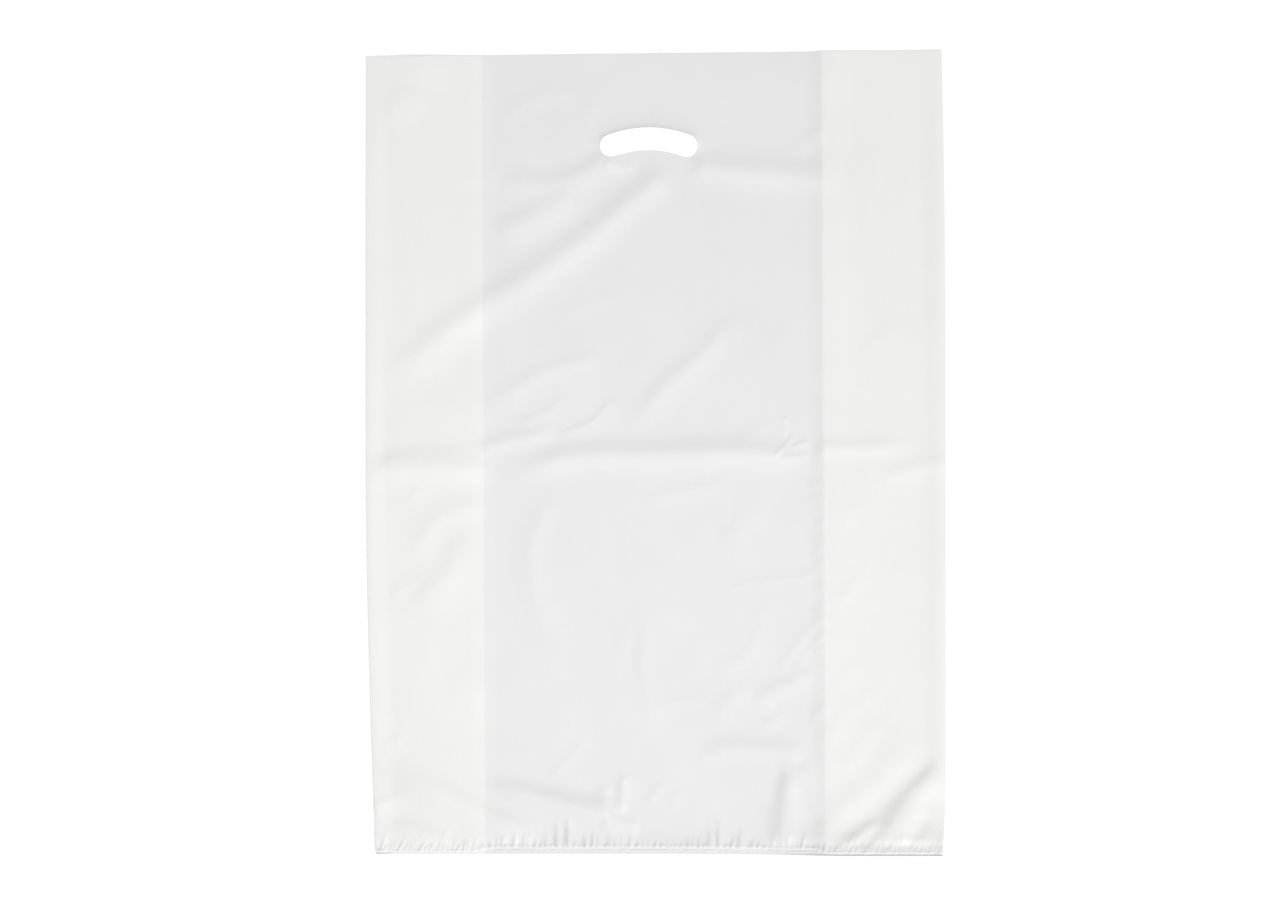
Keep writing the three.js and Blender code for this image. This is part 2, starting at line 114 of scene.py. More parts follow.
toward_key = Vector((math.cos(KEY_TURN) * math.cos(KEY_HEIGHT),
                     math.sin(KEY_TURN) * math.cos(KEY_HEIGHT),
                     math.sin(KEY_HEIGHT)))
bpy.ops.object.light_add(type="SUN", rotation=toward_key.to_track_quat("Z", "Y").to_euler())
key = bpy.context.active_object
key.name = "key_light"
key.data.energy = KEY_SHARE * math.pi / math.sin(KEY_HEIGHT)
key.data.angle = KEY_SPREAD

bpy.ops.object.light_add(type="AREA", location=LAMP_PLACE)
lamp = bpy.context.active_object
lamp.name = "hanging_lamp"
lamp.data.size = LAMP_SIZE
lamp.data.energy = LAMP_SHARE * (math.pi * LAMP_PLACE.z) ** 2
print(f"key {key.data.energy:.2f}, lamp {lamp.data.energy:.2f} W")

# %% White world
WORLD_SHARE = 0.4

world = bpy.data.worlds.new("white_room")
world.use_nodes = True
bpy.context.scene.world = world
world_nodes = world.node_tree.nodes
room = world_nodes["Background"]
room.inputs["Color"].default_value = (1, 1, 1, 1)
world_path = world_nodes.new("ShaderNodeLightPath")
room_level = world_nodes.new("ShaderNodeMapRange")
room_level.inputs["To Min"].default_value = WORLD_SHARE
room_level.inputs["To Max"].default_value = 1
world.node_tree.links.new(world_path.outputs["Is Camera Ray"], room_level.inputs["Value"])
world.node_tree.links.new(room_level.outputs["Result"], room.inputs["Strength"])
print(f"the world lights the bag at {WORLD_SHARE} and shows as white")

# %% [markdown]
# The floor
#
# The bag lies on plain white. A floor that is only lit never quite reaches white beside a white bag, so
# this one also glows a little. Light Path gives that glow only to rays from the camera and to those that
# are mirrored or pass through glass, so it adds no soft light to the bag. The lit part of the floor still
# takes the thin shadow along the bag's edges.

# %% Floor under the bag
FLOOR_SIZE = 16
FLOOR_DROP = 0.02 * MM

bpy.ops.mesh.primitive_plane_add(size=FLOOR_SIZE, location=(0, 0, -FLOOR_DROP))
floor = bpy.context.active_object
floor.name = "white_floor"
print(f"floor {FLOOR_SIZE} m wide, {FLOOR_DROP / MM:.2f} mm under the bag")

# %% White floor that glows where it is seen
FLOOR_COLOUR = (0.55, 0.55, 0.55, 1)
FLOOR_GLOW = 0.55

floor_paint = bpy.data.materials.new("floor_white")
floor_paint.use_nodes = True
floor_nodes = floor_paint.node_tree.nodes
floor_links = floor_paint.node_tree.links
floor_nodes.remove(floor_nodes["Principled BSDF"])
lit = floor_nodes.new("ShaderNodeBsdfDiffuse")
lit.inputs["Color"].default_value = FLOOR_COLOUR
glow = floor_nodes.new("ShaderNodeEmission")
floor_path = floor_nodes.new("ShaderNodeLightPath")
seen_or_mirrored = floor_nodes.new("ShaderNodeMath")
seen_or_mirrored.operation = "MAXIMUM"
seen_at_all = floor_nodes.new("ShaderNodeMath")
seen_at_all.operation = "MAXIMUM"
glow_level = floor_nodes.new("ShaderNodeMath")
glow_level.operation = "MULTIPLY"
glow_level.inputs[1].default_value = FLOOR_GLOW
both = floor_nodes.new("ShaderNodeAddShader")
floor_links.new(floor_path.outputs["Is Camera Ray"], seen_or_mirrored.inputs[0])
floor_links.new(floor_path.outputs["Is Glossy Ray"], seen_or_mirrored.inputs[1])
floor_links.new(seen_or_mirrored.outputs[0], seen_at_all.inputs[0])
floor_links.new(floor_path.outputs["Is Transmission Ray"], seen_at_all.inputs[1])
floor_links.new(seen_at_all.outputs[0], glow_level.inputs[0])
floor_links.new(glow_level.outputs[0], glow.inputs["Strength"])
floor_links.new(lit.outputs[0], both.inputs[0])
floor_links.new(glow.outputs[0], both.inputs[1])
floor_links.new(both.outputs[0], floor_nodes["Material Output"].inputs["Surface"])
floor.data.materials.append(floor_paint)
print(f"the floor glows at {FLOOR_GLOW} where it is seen")

# %% [markdown]
# The flat film
#
# The film starts as the flat sheet that the tube would be if it were slit down the middle of the back:
# half of the back, a tuck of two leaves, the front face, the other tuck and the other half of the back. A
# grid primitive gives the sheet, and its columns are slid onto the fold lines. Its rows close up near the
# weld, where the film is gathered.

# %% Flat film as a grid
HALF_WIDTH = BAG_WIDTH / 2
HALF_LENGTH = BAG_LENGTH / 2
TUCK_DEPTH = 88
GATHER_LINE = -272
PANEL_WIDTHS = (HALF_WIDTH, TUCK_DEPTH, TUCK_DEPTH, BAG_WIDTH, TUCK_DEPTH, TUCK_DEPTH, HALF_WIDTH)
PANEL_COLUMNS = (16, 6, 6, 32, 6, 6, 16)
ROW_LINES = (-300, -298.5, -297, -295.5, -294, -292.5, -286, -279, GATHER_LINE, HALF_LENGTH)
BODY_ROWS = 43

column_marks = np.cumsum((0,) + PANEL_COLUMNS)
column_lines = np.cumsum((0,) + PANEL_WIDTHS) - sum(PANEL_WIDTHS) / 2
row_marks = np.append(np.arange(len(ROW_LINES) - 1), len(ROW_LINES) - 2 + BODY_ROWS)
FLAT_WIDTH = sum(PANEL_WIDTHS)


def points_of(piece):
    """The piece's vertices, in millimetres, one row each."""
    points = np.empty(len(piece.data.vertices) * 3)
    piece.data.vertices.foreach_get("co", points)
    return points.reshape(-1, 3) / MM


def move_points(piece, x, y, z):
    """Puts the piece's vertices at these places, given in millimetres."""
    points = np.column_stack((x, y, z)) * MM
    piece.data.vertices.foreach_set("co", points.ravel())
    piece.data.update()


bpy.ops.object.select_all(action="DESELECT")
bpy.ops.mesh.primitive_grid_add(
    x_subdivisions=int(column_marks[-1]), y_subdivisions=int(row_marks[-1]), size=1)
film = bpy.context.active_object
film.name = "film_bag"
film.data.name = "film_bag"
grid = points_of(film) * MM + 0.5
flat_x = np.interp(grid[:, 0] * column_marks[-1], column_marks, column_lines)
flat_y = np.interp(grid[:, 1] * row_marks[-1], row_marks, ROW_LINES)
move_points(film, flat_x, flat_y, np.zeros(len(grid)))
print(f"flat film {FLAT_WIDTH:.0f} by {BAG_LENGTH:.0f} mm, {len(film.data.polygons)} faces")

# %% [markdown]
# Folds
#
# Each fold is a ridge along a crest. The crest is a smooth line through a few points, read off the
# picture in millimetres from the middle of the face. Film bends in a soft wave, so the cut through a
# ridge is a bell curve with a flank of its own width on either side, often steeper towards the upper
# left. One picture doesn't say how high a fold is, so rises and flanks were set by trial, until the
# shading came close. The ends fade out, unless a fold runs on into an edge or the weld. A cloth
# simulation is another way to get folds, but it doesn't let each one be placed.

# %% Smooth steps and smooth lines
STEPS_PER_SPAN = 6


def smooth(t):
    """Runs from 0 to 1 as t does, level at both ends."""
    t = np.clip(t, 0, 1)
    return t * t * (3 - 2 * t)


def crest_line(points):
    """A smooth line through the points of a crest."""
    points = np.array(points, float)
    ends = np.vstack((2 * points[0] - points[1], points, 2 * points[-1] - points[-2]))
    line = []
    for before, start, end, after in zip(ends, ends[1:], ends[2:], ends[3:]):
        for t in np.arange(STEPS_PER_SPAN) / STEPS_PER_SPAN:
            bend = (2 * before - 5 * start + 4 * end - after) * t**2
            twist = (3 * start - before - 3 * end + after) * t**3
            line.append(0.5 * (2 * start + (end - before) * t + bend + twist))
    return np.array(line + [points[-1]])


def nearest_on_line(line, x, y):
    """The offset of each point from the nearest place on a line, and how far along that place is."""
    best = np.full(x.shape, np.inf)
    off_x = np.zeros(x.shape)
    off_y = np.zeros(x.shape)
    along = np.zeros(x.shape)
    for index, (start, end) in enumerate(zip(line, line[1:])):
        step = end - start
        t = ((x - start[0]) * step[0] + (y - start[1]) * step[1]) / (step @ step)
        t = np.clip(t, 0, 1)
        dx = x - start[0] - t * step[0]
        dy = y - start[1] - t * step[1]
        nearer = dx * dx + dy * dy < best
        best = np.where(nearer, dx * dx + dy * dy, best)
        off_x = np.where(nearer, dx, off_x)
        off_y = np.where(nearer, dy, off_y)
        along = np.where(nearer, (index + t) / (len(line) - 1), along)
    return off_x, off_y, along


print(f"a crest has {STEPS_PER_SPAN} steps between two of its points")

# %% Helpers for folds
STEEP_SIDE = np.array((-0.707, 0.707))
FLANK_REACH = 3
FADE_SHARE = 0.2
LEAST_DISTANCE = 1e-6
folds = []


def lay_fold(crest, rise, steep, gentle, fades=(FADE_SHARE, FADE_SHARE), widen=(1, 1)):
    """Notes one fold: its crest, its rise, the widths of its two flanks, and how both ends fade and widen.

    A rise below zero makes a hollow.
    """
    folds.append((crest_line(crest), rise, steep, gentle, fades, widen))


def fold_height(fold, x, y):
    """How far one fold lifts the film at each point."""
    line, rise, steep, gentle, fades, widen = fold
    reach = FLANK_REACH * max(steep, gentle) * max(widen)
    low = line.min(axis=0) - reach
    high = line.max(axis=0) + reach
    height = np.zeros(x.shape)
    near = (x > low[0]) & (x < high[0]) & (y > low[1]) & (y < high[1])
    off_x, off_y, along = nearest_on_line(line, x[near], y[near])
    distance = np.hypot(off_x, off_y)
    side = (off_x * STEEP_SIDE[0] + off_y * STEEP_SIDE[1]) / np.maximum(distance, LEAST_DISTANCE)
    flank = gentle + (steep - gentle) * (0.5 + 0.5 * side)
    flank = flank * (widen[0] + (widen[1] - widen[0]) * along)
    lift = np.exp(-0.5 * (distance / flank) ** 2)
    if fades[0]:
        lift = lift * smooth(along / fades[0])
    if fades[1]:
        lift = lift * smooth((1 - along) / fades[1])
    height[near] = rise * lift
    return height


print("a fold fades over", FADE_SHARE, "of its length unless told otherwise")

# %% [markdown]
# Folds of the upper half
#
# Long slings run out from under the ends of the grip, as on a bag that has hung from a hand, and the
# longest goes right across to the left-hand edge. Between them and the middle the film has a few short,
# shallow folds of its own.

# %% Folds that hang from the grip
lay_fold([(10, 211), (-6, 198), (-26, 182), (-49, 162), (-78, 142), (-108, 122), (-134, 106), (-168, 81),
          (-204, 48)], 1.6, 7, 9, (0.1, 0.14), (0.8, 1.1))
lay_fold([(-39, 219), (-53, 209), (-69, 203), (-86, 201), (-102, 203), (-116, 206)], 1.1, 4, 9, (0, 0.25))
lay_fold([(-57, 193), (-74, 185), (-89, 177), (-105, 170), (-121, 162)], 1.15, 6, 9)
lay_fold([(24, 215), (44, 212), (63, 210), (93, 208), (115, 206), (140, 202)], 1.5, 7.5, 8.5,
         (0.12, 0.22), (0.7, 1))
lay_fold([(-40, 217), (-28, 213), (-14, 214)], 0.5, 2.6, 4)
lay_fold([(104, 221), (113, 233), (127, 240)], 0.5, 3.5, 4)
lay_fold([(-117, 240), (-110, 251), (-101, 260), (-86, 265), (-60, 271)], 0.24, 3, 3.2)
lay_fold([(-203, 250), (-190, 259), (-178, 272)], 0.6, 7, 8)
lay_fold([(-150, 192), (-131, 194), (-113, 193)], -0.25, 3, 3)
print(len(folds), "folds so far")

# %% Folds between the slings and the middle
lay_fold([(-21, 14), (0, 42), (12, 55), (26, 66), (39, 79), (49, 91), (70, 107)], 0.85, 4.8, 7,
         (0.15, 0.25))
lay_fold([(-118, 38), (-93, 56), (-78, 62), (-62, 67), (-30, 74)], 0.6, 4, 5)
lay_fold([(-70, 103), (-49, 111), (-29, 119)], 0.24, 3, 3.8)
lay_fold([(-77, 11), (-58, 19), (-48, 23), (-40, 31), (-30, 43)], 0.38, 1.6, 5)
lay_fold([(-108, 19), (-92, 26), (-81, 31), (-66, 43)], 0.28, 1.8, 4)
lay_fold([(-127, 33), (-115, 43), (-102, 53)], 0.3, 3.5, 7)
lay_fold([(142, 64), (158, 79), (168, 87), (185, 97)], 0.2, 3.2, 4.5)
print(len(folds), "folds so far")

# %% [markdown]
# The crease across the middle
#
# A crease crosses the middle from side to side, as on a bag that was packed folded in half. It isn't one
# clean line: it steps where it meets the tucks, and the film is crumpled at the right-hand tuck.

# %% Crease across the middle
lay_fold([(-216, -12), (-180, -10), (-150, -10.5), (-114, -12)], 1.55, 6.4, 7.4, (0.2, 0.3))
lay_fold([(-210, -11), (-192, -4), (-175, 0), (-150, 0), (-128, 3)], 0.3, 3, 4)
lay_fold([(-138, 1), (-116, 8), (-99, 12), (-74, 17)], 0.84, 3.6, 4.6)
lay_fold([(-124, -20), (-86, -8), (-64, -3), (-41, -1), (-12, -1), (26, 0), (60, 1), (93, -1), (118, 0)],
         1.7, 6, 6.8, (0.2, 0.2))
lay_fold([(116, 3), (145, 4), (167, 5), (192, 7)], 0.72, 3.4, 4.6, (0.1, 0.3))
lay_fold([(158, -17), (186, -13), (198, -9), (216, -7)], 0.64, 4, 5, (0.3, 0))
lay_fold([(87, -3), (94, 4), (104, 14.5)], 0.32, 1.2, 1.8)
lay_fold([(92, -4), (103, -3), (115, -1)], 0.3, 1.6, 2.6)
lay_fold([(100, 4), (107, 7), (115, 9)], 0.34, 1.5, 2.2)
lay_fold([(95, 28), (95.5, 13)], 0.28, 1.6, 1.8)
lay_fold([(60, 6), (76, 17), (92, 28)], 0.34, 3.2, 3.6, (0.5, 0.5))
lay_fold([(113, -29), (117, -24), (122, -22)], 0.2, 1.8, 2.4)
lay_fold([(136, -54), (143, -47), (148, -37)], 0.3, 3, 3.4)
print(len(folds), "folds so far")

# %% [markdown]
# Folds of the lower half
#
# Below the crease most folds are short and go every way. There are also a long bow on the left, a cluster
# of crumples on the right, and soft waves down the right-hand tuck. The small kinks along that tuck are
# too alike to lay by hand, so they are drawn at random from a fixed seed.

# %% Folds below the crease
lay_fold([(-182, -82), (-172, -62), (-162, -49), (-147, -43), (-122, -37)], 0.56, 5.5, 5.5)
lay_fold([(-180, -117), (-165, -101), (-154, -89), (-148, -75), (-138, -57)], 0.75, 6, 10)
lay_fold([(-197, -109), (-189, -101), (-176, -95)], 0.2, 2.4, 2.6)
lay_fold([(-185, -39), (-175, -24)], 0.2, 1.8, 3)
lay_fold([(-66, -23), (-84, -47), (-90, -61), (-93, -77), (-92, -93), (-88, -111), (-79, -129),
          (-65, -148)], 0.6, 5.8, 4.2)
lay_fold([(-10, -106), (-9, -140), (-10, -161), (-7, -179), (-3, -212)], 0.5, 3.2, 4.4)
lay_fold([(-20, -128), (-26, -146), (-28, -168)], 0.28, 3.4, 4)
lay_fold([(50, -100), (81, -95), (108, -92), (127, -90)], 0.19, 1.7, 1.9, (0.1, 0.5))
lay_fold([(-12, -39), (12, -30), (34, -26), (55, -20)], 0.32, 3.3, 4)
lay_fold([(47, -71), (62, -54), (78, -38)], 0.42, 4.4, 5)
lay_fold([(40, -162), (56, -158), (69, -148), (74, -135), (78, -119), (82, -106)], 0.42, 3.6, 4.5)
lay_fold([(73, -132), (75, -150), (75, -170)], 0.3, 3, 2.4)
lay_fold([(88, -165), (97, -154), (108, -139), (120, -125), (125, -118)], 0.55, 3, 3.2)
lay_fold([(97, -168), (108, -154), (118, -141), (126, -131)], 0.34, 2.2, 2.4)
lay_fold([(74, -193), (81, -180), (92, -174), (104, -169), (112, -155)], 0.95, 4, 6.4)
lay_fold([(43, -200), (55, -185), (70, -171)], 0.6, 4.8, 4.4)
lay_fold([(79, -207), (86, -200), (96, -194)], 0.52, 3, 3)
lay_fold([(114, -199), (128, -187)], 0.3, 2.8, 2.8)
lay_fold([(-7, -186), (18, -185), (41, -183)], 0.42, 3, 4.4)
lay_fold([(132, -114), (145, -100), (156, -87)], 0.42, 3.8, 3.4)
print(len(folds), "folds so far")

# %% Soft waves down the right-hand strip
lay_fold([(136, -171), (144, -162), (151, -156)], 0.3, 3.4, 4.6)
lay_fold([(144, -194), (155, -182), (166, -175)], 0.32, 3.4, 4.6)
lay_fold([(138, -240), (147, -226), (158, -211), (168, -199)], 0.5, 4.6, 5)
lay_fold([(160, -236), (172, -219), (184, -203)], 0.4, 5, 6)
lay_fold([(130, -214), (134, -201), (140, -190)], 0.3, 3, 4)
print(len(folds), "folds so far")

# %% Kinks along the right-hand tuck
KINK_SEED = 3
KINK_SPAN = (-228, -34)
KINK_STEP = 10
KINK_START = (106, 118)
KINK_SHIFT = (-4, 4)
KINK_ACROSS = (8, 12)
KINK_UP = (7, 13)
KINK_RISE = (0.05, 0.22)
KINK_STEEP = (1.6, 2.6)
KINK_GENTLE = 2.4
draws = np.random.default_rng(KINK_SEED)
for kink_y in np.arange(*KINK_SPAN, KINK_STEP):
    start = np.array((draws.uniform(*KINK_START), kink_y + draws.uniform(*KINK_SHIFT)))
    run = np.array((draws.uniform(*KINK_ACROSS), draws.uniform(*KINK_UP)))
    lay_fold([start, start + run], draws.uniform(*KINK_RISE), draws.uniform(*KINK_STEEP), KINK_GENTLE)
print(len(folds), "folds so far")

# %% [markdown]
# Folds above the weld
#
# The weld is stiff and holds the film still, and the deepest folds end there. The largest runs from the
# right-hand edge down into the weld and widens as it goes. On the left, broad ridges lean across the
# tuck.

# %% Folds that run into the weld
lay_fold([(22, -228), (48, -221), (67, -220), (89, -221), (112, -226)], 1.25, 5.4, 4.4, (0.3, 0.15))
lay_fold([(101, -222), (98, -248), (97, -267), (93, -302)], 3.0, 6, 9, (0.35, 0.2), (0.45, 1.3))
lay_fold([(108, -228), (114, -250), (120, -272)], 0.9, 4, 4)
lay_fold([(205, -203), (185, -224), (166, -242), (150, -255), (131, -272), (104, -302)], 1.3, 8.5, 10,
         (0.3, 0.15), (0.9, 0.8))
lay_fold([(215, -226), (199, -244), (189, -256), (179, -271), (170, -286), (160, -304)], 3.3, 7, 16,
         (0.22, 0.32), (0.4, 1.25))
lay_fold([(194, -252), (186, -266), (178, -280), (170, -296)], 1.7, 9, 10, (0.5, 0.5))
lay_fold([(206, -275), (199, -285), (190, -300)], 1, 3, 4, (0.4, 0.1))
lay_fold([(170, -270), (149, -285), (127, -309)], 1.7, 4.2, 4, (0.4, 0.15), (0.6, 1.2))
lay_fold([(-211, -265), (-202, -259), (-190, -256), (-174, -254)], 0.5, 2.4, 5.5, (0.1, 0.6))
lay_fold([(-203, -222), (-197, -216), (-188, -213)], 0.32, 2.4, 5)
lay_fold([(-204, -272), (-186, -278), (-166, -284), (-146, -290)], 1.3, 4, 6, (0.4, 0.4))
lay_fold([(-210, -226), (-184, -243), (-156, -258), (-126, -271), (-100, -278), (-68, -285)], 3, 8, 9,
         (0.37, 0.35), (1.35, 0.8))
lay_fold([(-134, -243), (-108, -250), (-86, -257), (-60, -263), (-38, -268), (-12, -282)], 2.7, 7, 8.5,
         (0.3, 0.3), (0.6, 1))
lay_fold([(-24, -236), (-25, -253), (-27, -268)], 1, 2.8, 3.2)
lay_fold([(-38, -245), (-39, -272)], 0.7, 2.8, 3)
lay_fold([(4, -243), (-1, -252), (-7, -262)], 0.45, 2.4, 4)
lay_fold([(15, -252), (12, -265)], 0.35, 2.2, 3)
lay_fold([(-42, -273), (-27, -275), (-11, -277)], 0.75, 3, 5)
lay_fold([(-81, -243), (-64, -226), (-50, -211)], 0.28, 2.6, 3.2)
print(len(folds), "folds in all")

# %% [markdown]
# Cutting the film finer
#
# Soft folds need few faces and tight ones need many. The back and the tucks lie flat and stay coarse. The
# front face is subdivided all over, and once more along its edges, at the tucks and near tight creases.
# Near the weld only the columns are split further, because the gathers there run up and down.

# %% Helpers that subdivide part of the flat film
HAIR = 0.001


def open_mesh(piece, kind):
    """Goes into edit mode with nothing selected, and gives the mesh."""
    bpy.ops.object.mode_set(mode="EDIT")
    bpy.ops.mesh.select_mode(type=kind)
    bpy.ops.mesh.select_all(action="DESELECT")
    return bmesh.from_edit_mesh(piece.data)


def pick_faces(piece, chosen):
    """Selects the faces whose middle, in millimetres, is chosen."""
    shape = open_mesh(piece, "FACE")
    middles = np.array([face.calc_center_median() for face in shape.faces]) / MM
    for face, picked in zip(shape.faces, chosen(middles[:, 0], middles[:, 1])):
        face.select_set(bool(picked))


def pick_crosswise_edges(piece, chosen):
    """Selects the edges that run across the bag and whose middle, in millimetres, is chosen."""
    shape = open_mesh(piece, "EDGE")
    ends = np.array([[vertex.co for vertex in edge.verts] for edge in shape.edges]) / MM
    middles = ends.mean(axis=1)
    across = np.abs(ends[:, 0, 1] - ends[:, 1, 1]) < HAIR
    for edge, picked in zip(shape.edges, across & chosen(middles[:, 0], middles[:, 1])):
        edge.select_set(bool(picked))


def cut_faces(piece, cuts, chosen):
    """Subdivides the chosen faces both ways."""
    pick_faces(piece, chosen)
    bpy.ops.mesh.subdivide(number_cuts=cuts, ngon=False)
    bpy.ops.object.mode_set(mode="OBJECT")


def cut_columns(piece, cuts, chosen):
    """Subdivides the chosen edges that run across the bag, so that only the columns become finer."""
    pick_crosswise_edges(piece, chosen)
    bpy.ops.mesh.subdivide(number_cuts=cuts, ngon=False)
    bpy.ops.object.mode_set(mode="OBJECT")


print(f"an edge runs across the bag when its ends lie within {HAIR} mm of one row")

# %% Finer front face and gathers
FACE_CUTS = 3
GATHER_CUTS = 2
GATHER_MARGIN = 1

cut_faces(film, FACE_CUTS, lambda x, y: np.abs(x) < HALF_WIDTH)
print(f"front face cut: {len(film.data.polygons)} faces")
cut_columns(film, GATHER_CUTS, lambda x, y: (np.abs(x) < HALF_WIDTH) & (y < GATHER_LINE - GATHER_MARGIN))
print(f"gathers cut: {len(film.data.polygons)} faces")

# %% Finer at the edges, the tucks and the tight creases
EDGE_BAND = 16
TUCK_LINE = HALF_WIDTH - TUCK_DEPTH
TUCK_BAND = 7
TIGHT_FLANK = 2.9
TIGHT_BAND = 4
SHARP_FLANK = 1.65
SHARP_BAND = 3


def on_bead(x, y):
    """True on the front face's edge and tuck bands, above the gathers."""
    from_edge = HALF_WIDTH - np.abs(x)
    band = (from_edge > 0) & (from_edge < EDGE_BAND) | (np.abs(np.abs(x) - TUCK_LINE) < TUCK_BAND)
    return band & (y > GATHER_LINE + GATHER_MARGIN)


def near_crease(x, y, flank, band):
    """True on the front face within a band of the crest of a fold as tight as this flank."""
    near = np.zeros(x.shape, bool)
    for line, rise, steep, gentle, fades, widen in folds:
        if steep <= flank:
            off_x, off_y, along = nearest_on_line(line, x, y)
            near |= np.hypot(off_x, off_y) < band
    return near & (np.abs(x) < HALF_WIDTH) & (y > GATHER_LINE)


cut_columns(film, 1, on_bead)
cut_faces(film, 1, lambda x, y: near_crease(x, y, TIGHT_FLANK, TIGHT_BAND))
cut_faces(film, 1, lambda x, y: near_crease(x, y, SHARP_FLANK, SHARP_BAND))
print(f"beads and tight creases cut: {len(film.data.polygons)} faces")

# %% [markdown]
# From flat film to tucked tube
#
# Seen from above, the sides of the bag aren't quite straight: the left one is drawn in towards the weld,
# the right one a little at both ends, and the mouth runs slightly askew. Each panel of the flat film has
# its place between those lines. The plan of a point says where it lies, seen from above, once the film is
# folded.

# %% Sides, tucks, mouth and foot
LEFT_DRAW = 7.4
LEFT_DRAW_LENGTH = 300
LEFT_DRAW_POWER = 1.7
RIGHT_TOP_DRAW = 3
RIGHT_TOP_LENGTH = 240
RIGHT_FOOT_DRAW = 3
RIGHT_FOOT_LENGTH = 60
LEFT_TUCK = -128.3
RIGHT_TUCK = 124.4
TUCK_LEAN = -0.0046
MOUTH_SKEW = 5
MOUTH_DROP = 0.7
FOOT_LIFT = 1.7
FOOT_SAG = 1
FOOT_RUN = 150


def left_side(y):
    """The left-hand edge, drawn in towards the weld."""
    return -HALF_WIDTH + LEFT_DRAW * np.clip(-y / LEFT_DRAW_LENGTH, 0, 1) ** LEFT_DRAW_POWER


def right_side(y):
    """The right-hand edge, drawn in a little at the mouth and at the weld."""
    top = np.clip((y - HALF_LENGTH + RIGHT_TOP_LENGTH) / RIGHT_TOP_LENGTH, 0, 1)
    foot = np.clip((RIGHT_FOOT_LENGTH - HALF_LENGTH - y) / RIGHT_FOOT_LENGTH, 0, 1)
    return HALF_WIDTH - RIGHT_TOP_DRAW * top**2 - RIGHT_FOOT_DRAW * foot**2


def tuck_line(side, y):
    """Where the inner fold of a tuck lies: side is -1 for the left tuck and 1 for the right one."""
    return np.where(side < 0, LEFT_TUCK, RIGHT_TUCK) + TUCK_LEAN * y


def mouth_line(x):
    """The cut of the mouth, which runs slightly askew."""
    return HALF_LENGTH - MOUTH_DROP - MOUTH_SKEW * (0.5 - x / BAG_WIDTH)


def foot_line(x):
    """The cut below the weld, which sags a little to the right."""
    return -HALF_LENGTH + FOOT_LIFT + FOOT_SAG * (1 - smooth(x / FOOT_RUN))


print(f"left side drawn in {LEFT_DRAW} mm, mouth askew by {MOUTH_SKEW} mm")

# %% Plan of the folded film


def plan(flat_x, flat_y):
    """Where each point of the flat film lies, seen from above, once it is folded."""
    left = left_side(flat_y)
    right = right_side(flat_y)
    side = np.sign(flat_x)
    edge = np.where(side < 0, left, right)
    tuck = tuck_line(side, flat_y)
    middle = (left + right) / 2
    out = np.abs(flat_x)
    front = left + (flat_x + HALF_WIDTH) / BAG_WIDTH * (right - left)
    upper = edge + (tuck - edge) * (out - HALF_WIDTH) / TUCK_DEPTH
    lower = edge + (tuck - edge) * (HALF_WIDTH + 2 * TUCK_DEPTH - out) / TUCK_DEPTH
    back = middle + (edge - middle) * (FLAT_WIDTH / 2 - out) / HALF_WIDTH
    on_panel = (out <= HALF_WIDTH, out <= HALF_WIDTH + TUCK_DEPTH, out <= HALF_WIDTH + 2 * TUCK_DEPTH)
    x = np.select(on_panel, (front, upper, lower), back)
    y = foot_line(x) + (flat_y + HALF_LENGTH) * (mouth_line(x) - foot_line(x)) / BAG_LENGTH
    return x, y


mouth_corners = plan(np.array((-HALF_WIDTH, HALF_WIDTH)), np.array((HALF_LENGTH, HALF_LENGTH)))[1]
print("the corners of the mouth lie at", mouth_corners.round(1), "mm")

# %% [markdown]
# The grip
#
# A grip like this one is punched through the front and the back by one die. Its slot is a short band bent
# along an arc, with round ends, so every point of its rim lies half the slot's height from a middle arc.
# That makes the punch easy: faces inside are deleted, and what is left of the rim is pulled onto the
# outline.

# %% Outline of the grip
GRIP_SPAN = 56
GRIP_HEIGHT = 17
GRIP_BOW = 5.2
GRIP_DROP = 64
GRIP_SHIFT = -5.2
grip_y = HALF_LENGTH - GRIP_DROP - MOUTH_SKEW / 2
grip_radius = ((GRIP_SPAN / 2) ** 2 + GRIP_BOW**2) / (2 * GRIP_BOW)
grip_reach = math.asin(GRIP_SPAN / 2 / grip_radius)


def grip_arc(x, y):
    """The nearest place on the grip's middle arc to each point."""
    hub_y = grip_y - grip_radius
    turn = np.arctan2(x - GRIP_SHIFT, y - hub_y)
    turn = np.clip(turn, -grip_reach, grip_reach)
    return GRIP_SHIFT + grip_radius * np.sin(turn), hub_y + grip_radius * np.cos(turn)


def from_grip(flat_x, flat_y):
    """How far outside the grip each point of the front and the back lies; the tucks are far from it."""
    x, y = plan(flat_x, flat_y)
    arc_x, arc_y = grip_arc(x, y)
    in_tuck = (np.abs(flat_x) > HALF_WIDTH) & (np.abs(flat_x) < HALF_WIDTH + 2 * TUCK_DEPTH)
    return np.where(in_tuck, BAG_LENGTH, np.hypot(x - arc_x, y - arc_y) - GRIP_HEIGHT / 2)


print(f"the slot is {GRIP_SPAN + GRIP_HEIGHT} mm long and {GRIP_HEIGHT} mm wide")

# %% Punch through the front and the back
BACK_PATCH = 14
GRIP_BAND = 5
RIM_BAND = 2
RIM_REACH = 3

cut_faces(film, FACE_CUTS, lambda x, y: (from_grip(x, y) < BACK_PATCH) & (np.abs(x) > HALF_WIDTH))
cut_faces(film, 1, lambda x, y: np.abs(from_grip(x, y)) < GRIP_BAND)
cut_faces(film, 1, lambda x, y: np.abs(from_grip(x, y)) < RIM_BAND)
pick_faces(film, lambda x, y: from_grip(x, y) < 0)
bpy.ops.mesh.delete(type="FACE")
bpy.ops.object.mode_set(mode="OBJECT")

